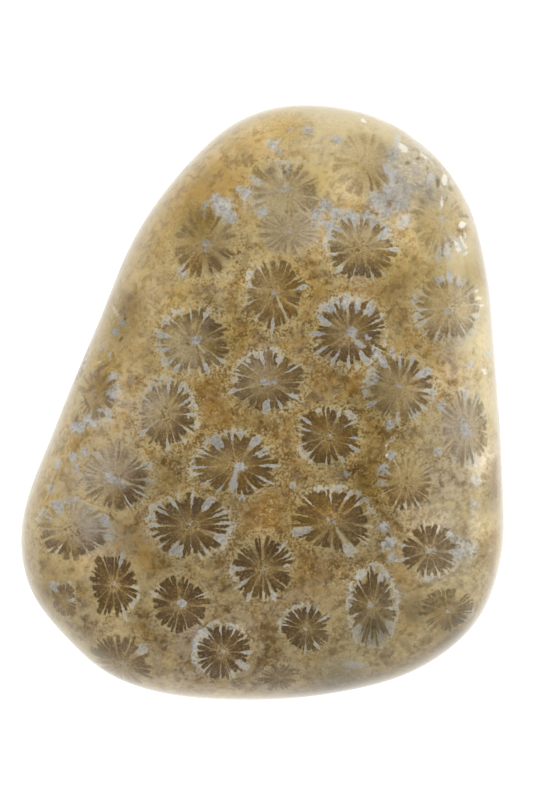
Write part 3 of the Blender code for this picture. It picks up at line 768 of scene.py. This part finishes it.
# Chamber colour: light brown within, dark in the fingers, streaked along its length
heading_x, heading_y, _ = r.parts(heading)
ray_place = r.vector(r.times(heading_x, 5.0), r.times(heading_y, 5.0), r.sum(r.times(reach, 1.5), seed))
rays = r.noise(ray_place, 1.0, 3.0, 0.65)
streaks = r.noise(ray_place, 2.0, 2.0, 0.6)
petal = r.ramp(sharpness, 0.60, 0.25)
shade_start = r.sum(r.line(darkness, -0.80, 0.93), r.line(finger_luck, 0.34, -0.17))
shade_start = r.sum(shade_start, r.times(petal, -0.30))
depth_shade = r.ramp(r.less(reach, shade_start), -0.08, 0.26)
depth_shade = r.times(depth_shade, r.line(streaks, 1.2, 0.40))
lightness = r.ramp(darkness, 0.84, 0.26)
floor_colour = r.blend(
    lightness,
    r.blend(warmth, "736046", "76592a"),
    r.blend(warmth, "b5a584", "bda56e"),
)
floor_light = r.blend(lightness, "a38c58", "cfbc8c")
floor_dark = r.blend(lightness, "57431f", "8a7546")
ray_share = r.ramp(sharpness, 0.4, 0.9, 0.12, 0.55)
floor_colour = r.flecks(
    floor_colour, rays, (0.51, 0.62, ray_share, floor_light), (0.48, 0.37, ray_share, floor_dark)
)
floor_colour = r.flecks(
    floor_colour, grains, (0.50, 0.68, 0.40, floor_light), (0.48, 0.32, 0.35, floor_dark)
)
finger_colour = r.blend(r.times(warmth, r.line(wide_end, -0.5, 1.0)), "493924", "583b12")
finger_tint = r.sum(r.line(darkness, 0.74, 0.14), r.times(petal, 0.12))
finger_tint = r.times(finger_tint, r.line(finger_luck_3, 0.6, 0.68))
chamber_colour = r.blend(r.times(depth_shade, finger_tint), floor_colour, finger_colour)
hue = r.sum(finger_luck_2, r.line(mottle, 1.6, -0.8))
hue_share = r.line(wide_end, -0.22, 0.40)
chamber_colour = r.flecks(
    chamber_colour, hue, (0.50, 0.95, hue_share, "8a6a28"), (0.42, 0.02, hue_share, "6c5c4c")
)
chamber_edge = r.times(r.ramp(reach, 0.45, 0.80), r.line(streaks, 1.4, 0.1))
chamber_edge = r.times(r.ramp(from_edge, 0.085, 0.015), chamber_edge)
chamber_colour = r.blend(r.times(chamber_edge, r.line(darkness, 0.80, 0.20)), chamber_colour, "3f2f14")
chamber_colour = r.flecks(chamber_colour, grains, (0.50, 0.70, 0.30, floor_light))

# Plates and the tangle in the heart of the cup
plate_colour = r.blend(r.ramp(wiggle, 0.3, 0.7), "9a8455", "baa576")
plate_colour = r.blend(r.times(lightness, 0.6), plate_colour, "cdbb92")
plate_show = r.times(r.line(plate_luck_2, 0.6, 0.30), r.ramp(sharpness, 0.2, 0.8, 0.3, 1.0))
cup_base = r.blend(r.times(r.ramp(reach, 0.15, 0.80, 0.20, 0.95), plate_show), floor_colour, plate_colour)
cup_base = r.blend(r.ramp(reach, 0.80, 1.02, 0.0, 0.6), cup_base, ground)
cup_base = r.flecks(cup_base, reach, (0.60, 0.90, r.ramp(grains, 0.40, 0.62, 0.10, 0.60), "c0ae80"))
tangle = r.noise(r.vector(u, v, seed), 5.0, 2.0, 0.6, 1.6)
threads = r.ramp(r.math("ABSOLUTE", r.less(tangle, 0.5)), 0.06, 0.0)
heart = r.times(r.ramp(reach, 0.54, 0.22), r.ramp(sharpness, 0.2, 0.8, 0.35, 1.0))
cup_base = r.blend(r.times(heart, r.ramp(tangle, 0.52, 0.61, 0.15, 0.82)), cup_base, "5f4820")
cup_base = r.blend(r.times(heart, r.times(threads, 0.62)), cup_base, "bba676")

# Agate: drops at the plates' outer ends, a crust where it is thick, a bead and a strand in the heart
ragged = r.sum(r.line(r.noise(place_mm, 2.4, 3.0, 0.65), 2.4, -1.2), r.line(grains, 0.9, -0.45))
drop_in = r.line(plate_luck_2, 0.24, 0.53)
drop_share = r.math("DIVIDE", r.less(reach, drop_in), r.line(plate_luck_3, 0.16, 0.40))
drop_wide = r.times(r.ramp(drop_share, 0.0, 0.42, 0.22, 1.0), r.line(plate_luck, 0.055, 0.065))
drop_wide = r.times(drop_wide, r.ramp(reach, 0.95, 1.20, 1.0, 0.5))
drop_wide = r.times(drop_wide, r.line(agate_crust, -0.15, 1.0))
run_out = r.ramp(reach, 1.02, 1.26)
drop_round = r.math("POWER", r.math("DIVIDE", from_plate, drop_wide), 2.0)
drop = r.less(1.0, r.sum(r.sum(run_out, r.ramp(drop_share, 0.10, -0.05)), drop_round))
short_share = r.math("DIVIDE", r.less(reach, r.line(chamber_luck_3, 0.10, 0.80)), 0.26)
short_wide = r.times(r.ramp(short_share, 0.0, 0.7, 0.06, 1.0), r.line(chamber_luck_3, 0.035, 0.045))
short_wide = r.times(short_wide, r.line(agate_crust, 0.5, 1.0))
short_round = r.math("POWER", r.math("DIVIDE", from_short_plate, short_wide), 2.0)
short_cut = r.sum(r.sum(run_out, r.ramp(short_share, 0.12, -0.05)), short_round)
short_drop = r.less(r.line(agate_crust, 0.3, 0.7), short_cut)
drop_wish = r.math("MAXIMUM", drop, short_drop)
drop_cover = r.less(1.10, r.math("MAXIMUM", agate_drops, agate_crust))
agate_edge = r.ramp(sharpness, 0.1, 1.0, 0.8, 0.40)
drops = r.ramp(r.less(r.sum(drop_wish, r.times(ragged, 0.75)), drop_cover), 0.0, agate_edge)
crust_wish = r.less(0.9, r.math("POWER", r.times(r.less(reach, 1.08), 1.0 / 0.18), 2.0))
crusts = r.ramp(r.less(r.sum(crust_wish, ragged), r.less(1.48, agate_crust)), 0.0, agate_edge)
crusts = r.times(crusts, r.less(1.0, r.times(open_chamber, 0.9)))
agate = r.math("MAXIMUM", r.times(drops, 0.92), r.times(crusts, 0.85))
agate = r.times(agate, r.line(wide_end, -0.18, 1.0))
agate_core = r.ramp(r.less(r.sum(drop_wish, r.times(ragged, 0.4)), drop_cover), 0.2, 0.9)
bead_reach = r.sum(r.sum(reach, r.line(wiggle, 0.8, -0.40)), r.times(ragged, 0.20))
bead_outside = r.ramp(sharpness, 0.4, 0.9, -0.14, -0.03)
bead_inside = r.ramp(sharpness, 0.4, 0.9, 0.10, 0.03)
bead = r.ramp(r.less(r.times(bead_size, 0.70), bead_reach), bead_outside, bead_inside)
strand_square = r.sum(r.times(strand_x, strand_x), r.times(strand_y, strand_y))
strand_along = r.math("DIVIDE", r.sum(r.times(u, strand_x), r.times(v, strand_y)), strand_square)
strand_gap_x = r.less(u, r.times(strand_x, strand_along))
strand_gap_y = r.less(v, r.times(strand_y, strand_along))
strand_gap = r.sum(r.length(strand_gap_x, strand_gap_y), r.line(wiggle, 0.30, -0.15))
thick_strand = r.ramp(bead_size, 0.175, 0.195)
strand_wide = r.line(tangle, 0.20, r.ramp(strand_along, 0.1, 0.8, -0.060, -0.010))
strand_wide = r.times(strand_wide, r.line(thick_strand, 0.76, 0.24))
strand = r.times(
    r.ramp(r.less(strand_wide, strand_gap), -0.03, 0.03),
    r.times(r.ramp(strand_along, 0.08, 0.14), r.ramp(strand_along, 1.04, 0.92)),
)
strand = r.times(strand, r.ramp(strand_square, 0.01, 0.03))
strand_colour = r.blend(thick_strand, "c4b896", "aaa89f")

# The cup's wall and the fine ribs that cross it
ribs = r.noise(r.vector(r.times(turns, 4.0), r.times(reach, 1.3), seed), 1.5, 2.0)
wall = r.times(r.ramp(reach, 0.92, 1.04), r.ramp(reach, 1.46, 1.12))
wall_dark = r.times(wall, r.times(r.ramp(grains, 0.47, 0.33), r.line(crisp, 0.30, 0.05)))
wall = r.times(wall, r.ramp(r.sum(r.times(ribs, 0.5), r.line(grains, 1.6, -0.55)), 0.40, 0.62, 0.1, 1.0))

inside = r.ramp(reach, 1.06, 0.96)
apart = r.math("MAXIMUM", r.ramp(margin_value, 0.0, 0.10), r.ramp(sharpness, 0.45, 0.30))

# The cups and their agate laid over the ground mass, from the cups' floors up
colour = r.blend(r.times(inside, r.times(apart, 0.92)), ground, cup_base)
wall_colour = r.blend(crisp, "cab787", "bfad7e")
wall_colour = r.blend(wide_end, wall_colour, "a89770")
colour = r.blend(r.times(r.times(wall, apart), r.times(clarity, 0.62)), colour, wall_colour)
colour = r.blend(r.times(wall_dark, apart), colour, "5f4a22")
colour = r.blend(r.times(open_chamber, r.times(apart, clarity)), colour, chamber_colour)
agate_colour = r.blend(r.ramp(r.noise(place_mm, 3.5, 2.0), 0.35, 0.65), "908f91", "b3b0ab")
agate_colour = r.flecks(agate_colour, grains, (0.53, 0.66, 0.5, "c6c2b6"), (0.46, 0.34, 0.4, "7f786b"))
agate_rim = r.blend(agate_core, "bdb59f", agate_colour)

# Some of the silica is golden and some ashen; the agate lies over both and keeps its own hue
more_golden = r.times(r.within(more_golden, 1.4), r.ramp(tones, 0.35, 0.60, 0.8, 1.2))
gilded = r.math("MAXIMUM", more_golden, 0.0)
red_shift = r.sum(r.line(more_golden, 0.03, 1.0), r.times(gilded, 0.04))
green_shift = r.sum(r.line(more_golden, -0.01, 1.0), r.times(gilded, -0.03))
hue_shift = r.vector(red_shift, green_shift, r.line(more_golden, -0.40, 1.0))
colour = r.vectors("MULTIPLY", colour, hue_shift)
colour = r.blend(r.times(agate, r.times(apart, clarity)), colour, agate_rim)
colour = r.blend(r.times(strand, r.line(thick_strand, 0.25, 0.60)), colour, strand_colour)
colour = r.blend(r.times(bead, 0.82), colour, agate_colour)
spot = r.ramp(r.sum(agate_spot, r.times(ragged, 0.27)), 0.50, 0.88)
spot = r.times(spot, r.less(1.0, r.times(open_chamber, inside)))
spot_colour = r.blend(r.ramp(mottle, 0.35, 0.65), "9c9c9e", "bbbab4")
spot_colour = r.flecks(spot_colour, grains, (0.54, 0.66, 0.38, "d2cec0"), (0.44, 0.34, 0.42, "7c7260"))
colour = r.blend(r.times(spot, 0.78), colour, spot_colour)
grit = r.noise(place_mm, 4.2, 3.0, 0.7, 0.6)
# The pitted corner: a pale grey patch of its own, with painted glints, pale flecks on the raised grit,
# and painted shade, dark flecks in the hollows between
pitted_tone_glints_and_shade = r.blend(r.ramp(blotches, 0.42, 0.56), "9b9589", "bdb092")
pitted_tone_glints_and_shade = r.flecks(pitted_tone_glints_and_shade, grit, (0.55, 0.66, 0.75, "e6e0d2"), (0.43, 0.33, 0.80, "8a7f6a"))
colour = r.blend(r.times(pitted_value, 0.80), colour, pitted_tone_glints_and_shade)

# Blotches with tattered edges: agate, dark brown marks, among them ones over the pits and along the
# healed chip, and white quartz
tatter = r.sum(r.times(ragged, 0.30), r.line(grit, 0.8, -0.4))
agate_patch = r.ramp(r.sum(agate_blotch, tatter), 0.22, 0.66)
whiter = r.times(r.ramp(place_x, 6.0, 13.0), r.ramp(place_y, 2.0, 8.0))
agate_patch_colour = r.blend(whiter, spot_colour, "cbc9c1")
colour = r.blend(r.times(agate_patch, 0.70), colour, agate_patch_colour)
dark_patch = r.ramp(r.sum(dark_blotch, r.times(tatter, 0.9)), 0.16, 0.80)
dark_patch_colour = r.blend(r.ramp(place_x, -8.0, 4.0), "6f5120", "6a5129")
colour = r.blend(r.times(dark_patch, 0.80), colour, dark_patch_colour)
quartz_patch = r.ramp(r.sum(quartz_blotch, tatter), 0.24, 0.70)
quartz_colour = r.blend(r.ramp(place_x, -5.0, 10.0), "dccfaa", "f1ecdd")
colour = r.blend(r.times(quartz_patch, 0.85), colour, quartz_colour)

# The rounded shoulder and the rim: painted sheen on the shoulder to the right, painted pale haze down the
# rim and painted shade on its outermost band, all standing in for the light of the tent on the curved
# edge; darker on the rim at the wide end
right_side = r.ramp(r.sum(place_x, r.times(place_y, -0.30)), 7.0, 13.0)
# Painted sheen: the shoulder on the right, towards the light, is paled to cream
painted_shoulder_sheen = r.times(r.ramp(height, 11.4, 10.9), r.ramp(height, 9.2, 10.4))
painted_shoulder_sheen = r.times(painted_shoulder_sheen, r.ramp(mottle, 0.35, 0.60, 0.4, 1.1))
colour = r.blend(r.times(painted_shoulder_sheen, r.times(right_side, 0.24)), colour, "dccc9e")
# Painted haze: the whole rim, cups too, is paled towards a greyish cream, less on the right
colour = r.blend(r.times(painted_rim_haze, r.line(right_side, -0.10, 0.22)), colour, "c5b48c")
# Painted shade: the outermost band of the rim, down to the girdle, is darkened to a grey taupe, most on
# the right
painted_limb_shade = r.times(r.ramp(height, 9.4, 7.4), r.ramp(height, 2.5, 5.0))
colour = r.blend(r.times(painted_limb_shade, r.line(right_side, 0.30, 0.25)), colour, "a79f8b")
dull_edge = r.times(r.ramp(place_y, -15.0, -21.0), r.ramp(place_x, -2.0, 6.0))
dull_edge = r.times(dull_edge, r.ramp(height, 10.9, 9.0))
colour = r.blend(r.times(dull_edge, 0.58), colour, "76684e")

# Cloudy places in the silica
paler = r.times(paler, r.ramp(mottle, 0.30, 0.65, 0.7, 1.3))
brighter = r.line(r.within(paler, 1.2), 0.36, 1.0)
colour = r.vectors("MULTIPLY", colour, r.vector(brighter, brighter, brighter))
r.feed(r.shader.inputs["Base Color"], colour)

# Polish: glossy all over, rougher in the pitted corner, with the softer chambers worn a hair lower
polish = r.sum(r.line(grains, 0.10, 0.10), r.times(pitted_value, 0.30))
r.feed(r.shader.inputs["Roughness"], polish)
r.shader.inputs["IOR"].default_value = 1.54
relief = r.sum(r.line(open_chamber, -0.35, 0.0), r.line(grains, 0.5, 0.0))
relief = r.sum(relief, r.times(r.times(pitted_value, r.ramp(grit, 0.38, 0.60)), 4.0))
bump = r.add("Bump")
bump.inputs["Strength"].default_value = 0.25
bump.inputs["Distance"].default_value = 0.02 * MM
r.feed(bump.inputs["Height"], relief)
r.feed(r.shader.inputs["Normal"], bump.outputs[0])

stone.data.materials.append(r.material)
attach(stone, "root")
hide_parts("coral_stone")

# --- The table it lies on ---------------------------------------------------------------------------
# A plain pale board, lit so brightly that it reads as white.

bpy.ops.object.select_all(action="DESELECT")
bpy.ops.mesh.primitive_plane_add(size=4.0, location=(0.0, 0.0, 0.0))
table = bpy.context.object
table.name = "table"
table_finish = Recipe("white_board")
table_finish.shader.inputs["Base Color"].default_value = (0.93, 0.93, 0.93, 1.0)
table_finish.shader.inputs["Roughness"].default_value = 0.9
table_finish.shader.inputs["Emission Color"].default_value = (1.0, 1.0, 1.0, 1.0)
table_finish.shader.inputs["Emission Strength"].default_value = 0.6
table.data.materials.append(table_finish.material)

# --- Light ------------------------------------------------------------------------------------------
# A light tent: soft white from all round with a dim opening overhead, and a broad panel to the right.

world = bpy.data.worlds.new("light_tent")
bpy.context.scene.world = world
world.use_nodes = True
sky = world.node_tree.nodes["Background"]
sky.inputs["Color"].default_value = (1.0, 1.0, 1.0, 1.0)
sky_place = world.node_tree.nodes.new("ShaderNodeTexCoord")
sky_parts = world.node_tree.nodes.new("ShaderNodeSeparateXYZ")
opening = world.node_tree.nodes.new("ShaderNodeMapRange")
opening.interpolation_type = "SMOOTHSTEP"
for name, value in (("From Min", 0.80), ("From Max", 0.95), ("To Min", 0.88), ("To Max", 0.22)):
    opening.inputs[name].default_value = value
world.node_tree.links.new(sky_place.outputs["Generated"], sky_parts.inputs[0])
world.node_tree.links.new(sky_parts.outputs[2], opening.inputs["Value"])
world.node_tree.links.new(opening.outputs[0], sky.inputs["Strength"])


def soft_panel(name, place, size, watts):
    """A square panel of light aimed at the middle of the stone."""
    light = bpy.data.lights.new(name, "AREA")
    light.size = size
    light.energy = watts
    panel = bpy.data.objects.new(name, light)
    bpy.context.collection.objects.link(panel)
    panel.location = place
    panel.rotation_euler = (-Vector(place)).to_track_quat("-Z", "Y").to_euler()
    panel.visible_camera = False


soft_panel("right_panel", (0.50, 0.30, 0.55), 0.90, 2.6)

# --- Camera -----------------------------------------------------------------------------------------
# Straight above the polished face, far enough off that the sides hardly show.

FRAME_HEIGHT = 64.0 * MM  # what the camera takes in, top to bottom, at the widest outline
CAMERA_HEIGHT = 0.70
CAMERA_ASIDE = (0.32 * MM, 0.16 * MM)  # how far it stands off the middle of the stone
camera_data = bpy.data.cameras.new("camera")
camera_data.sensor_width = 36.0
camera_data.lens = camera_data.sensor_width * (CAMERA_HEIGHT - GIRDLE) / FRAME_HEIGHT
camera = bpy.data.objects.new("camera", camera_data)
bpy.context.collection.objects.link(camera)
camera.location = (*CAMERA_ASIDE, CAMERA_HEIGHT)
bpy.context.scene.camera = camera
bpy.context.scene.view_settings.view_transform = "Standard"
